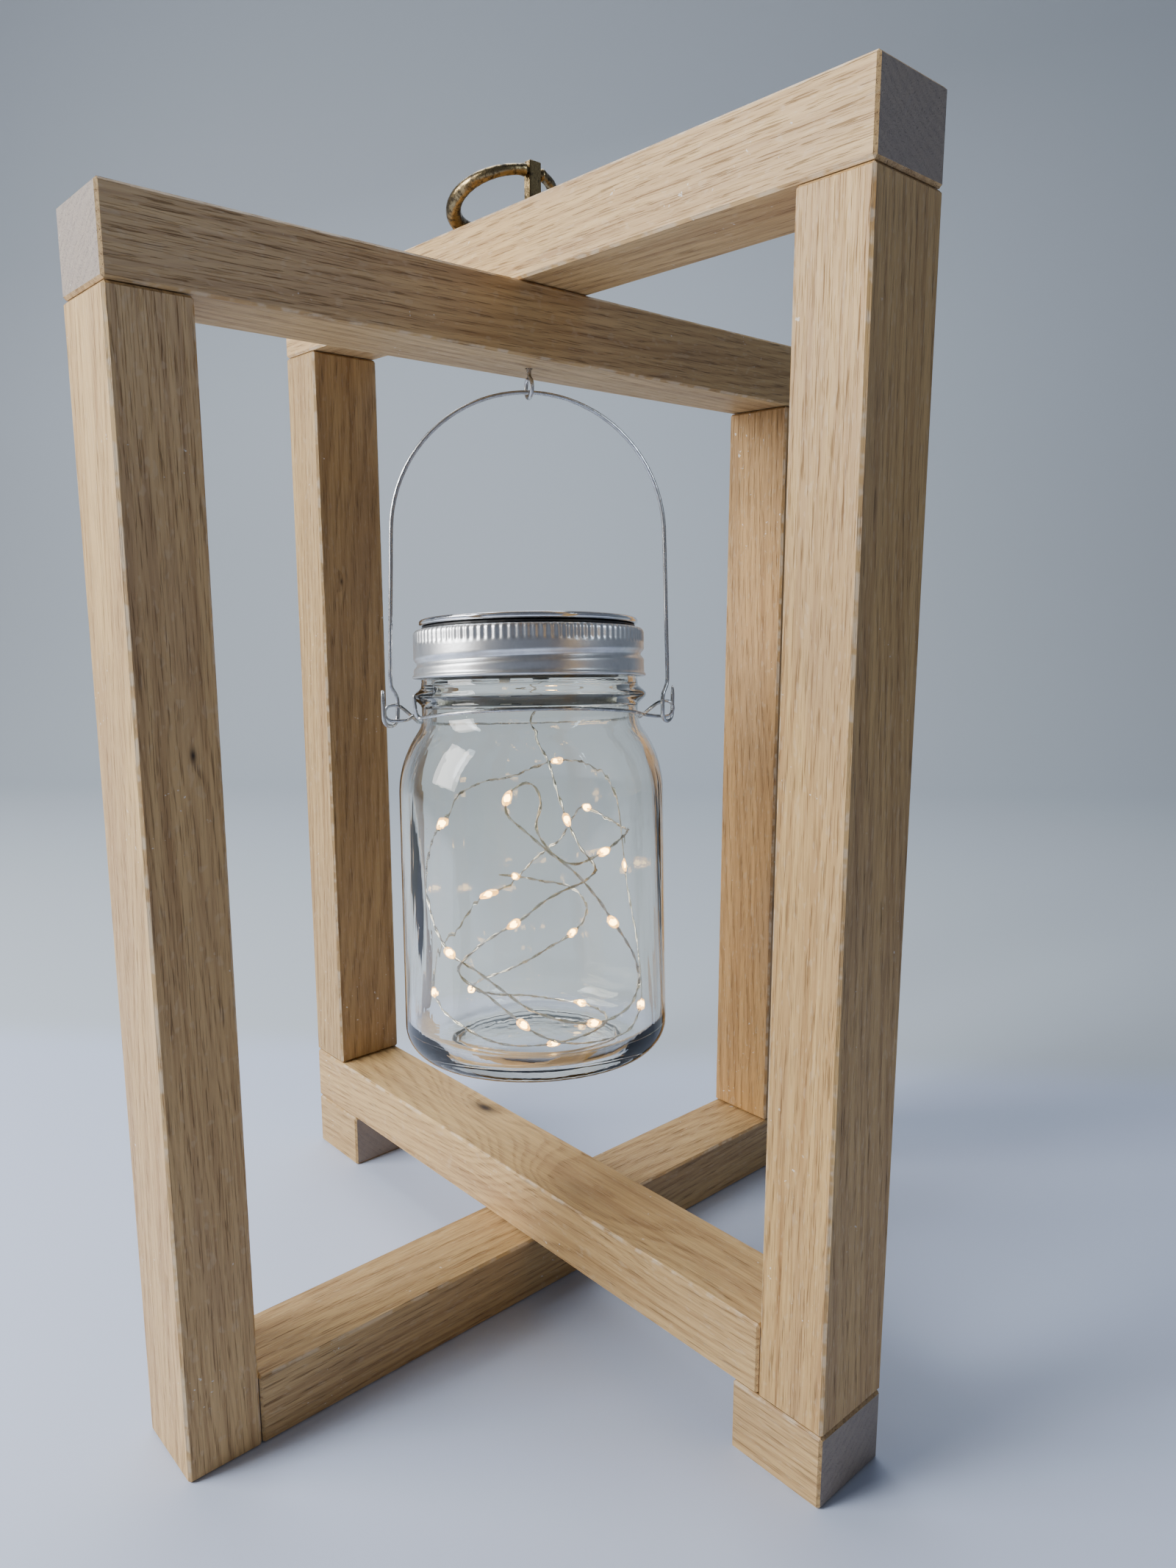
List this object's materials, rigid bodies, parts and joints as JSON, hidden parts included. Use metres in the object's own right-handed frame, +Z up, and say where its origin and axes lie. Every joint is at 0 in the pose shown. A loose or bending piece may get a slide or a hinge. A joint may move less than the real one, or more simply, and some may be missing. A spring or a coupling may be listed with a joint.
{
  "type": "mason jar lantern",
  "caption": "Clear screw-top glass jar with a solar lid and a heap of fairy lights, hung by a wire bail inside two crossed oak frames with a brass carrying ring.",
  "frame": {"origin": "centre of the crossed frames, on the underside of the lower frame's bottom rail", "axes": "+Z up; the two frames stand along the diagonals of +X and +Y, the lower frame from -X -Y to +X +Y and the upper frame from -X +Y to +X -Y"},
  "size_m": [0.1956, 0.1956, 0.3468],
  "materials": {
    "oak": "satin",
    "dowel": "matte",
    "antique_brass": "satin",
    "steel_wire": "satin",
    "clear_glass": "polished",
    "aluminium_band": "satin",
    "seal": "matte",
    "housing": "matte",
    "polished_rim": "polished",
    "solar_panel": "gloss",
    "battery": "gloss",
    "circuit_board": "satin",
    "grommet": "matte",
    "switch_knob": "matte",
    "light_wire": "gloss",
    "light_heap": "satin"
  },
  "bodies": {
    "frame": {"lower_frame_bottom_rail": "oak", "lower_frame_post_front": "oak", "lower_frame_post_rear": "oak", "lower_frame_top_rail": "oak", "upper_frame_bottom_rail": "oak", "upper_frame_post_front": "oak", "upper_frame_post_rear": "oak", "upper_frame_top_rail": "oak", "foot_block_front": "oak", "foot_block_rear": "oak", "lower_frame_dowel_front": "dowel", "lower_frame_dowel_rear": "dowel", "lower_frame_dowel_top_front": "dowel", "lower_frame_dowel_top_rear": "dowel", "upper_frame_dowel_front": "dowel", "upper_frame_dowel_rear": "dowel", "upper_frame_dowel_top_front": "dowel", "upper_frame_dowel_top_rear": "dowel", "foot_dowel_front": "dowel", "foot_dowel_rear": "dowel", "crossing_dowel_bottom": "dowel", "crossing_dowel_top": "dowel", "screw_eye": "steel_wire", "ring_post": "antique_brass"},
    "ring": {"drop_ring": "antique_brass"},
    "bail": {"bail_wire": "steel_wire"},
    "jar": {"glass_jar": "clear_glass", "neck_wire": "steel_wire", "light_lead": "light_wire", "light_heap": "light_heap"},
    "lid_seal": {"seal_ring": "seal"},
    "band": {"jar_band": "aluminium_band"},
    "solar_unit": {"solar_housing": "housing", "solar_rim": "polished_rim", "solar_panel": "solar_panel", "battery": "battery", "circuit_board": "circuit_board", "lead_grommet": "grommet"},
    "switch": {"switch_knob": "switch_knob"}
  },
  "joints": [
    {"name": "ring_swing", "type": "hinge", "parent": "frame", "child": "ring", "pos_m": [0.00177, -0.00177, 0.344], "axis": [0.7071, 0.7071, 0], "range_deg": [0, 141]},
    {"name": "lantern_swing", "type": "hinge", "parent": "frame", "child": "bail", "pos_m": [0, 0, 0.28435], "axis": [0.9774, 0.2113, 0], "range_deg": [-15, 15]},
    {"name": "jar_tilt", "type": "hinge", "parent": "bail", "child": "jar", "pos_m": [0, 0, 0.18705], "axis": [0.9774, 0.2113, 0], "range_deg": [-7, 7]},
    {"name": "lid_lift", "type": "slide", "parent": "jar", "child": "lid_seal", "axis": [-0.0217, 0.1005, 0.9947], "range_m": [0, 0.0059]},
    {"name": "lid_turn", "type": "hinge", "parent": "lid_seal", "child": "band", "pos_m": [0.00145, -0.00668, 0.08099], "axis": [-0.0217, 0.1005, 0.9947], "range_deg": [0, 390]},
    {"name": "unit_lift", "type": "slide", "parent": "lid_seal", "child": "solar_unit", "axis": [-0.0217, 0.1005, 0.9947], "range_m": [0, 0.02], "deforming": ["light_lead"]},
    {"name": "switch_slide", "type": "slide", "parent": "solar_unit", "child": "switch", "axis": [0.9774, 0.2113, 0], "range_m": [0, 0.003]}
  ],
  "couplings": [
    {"joint": "lid_turn", "follows": "lid_lift", "rad_per_m": 1142.4}
  ]
}
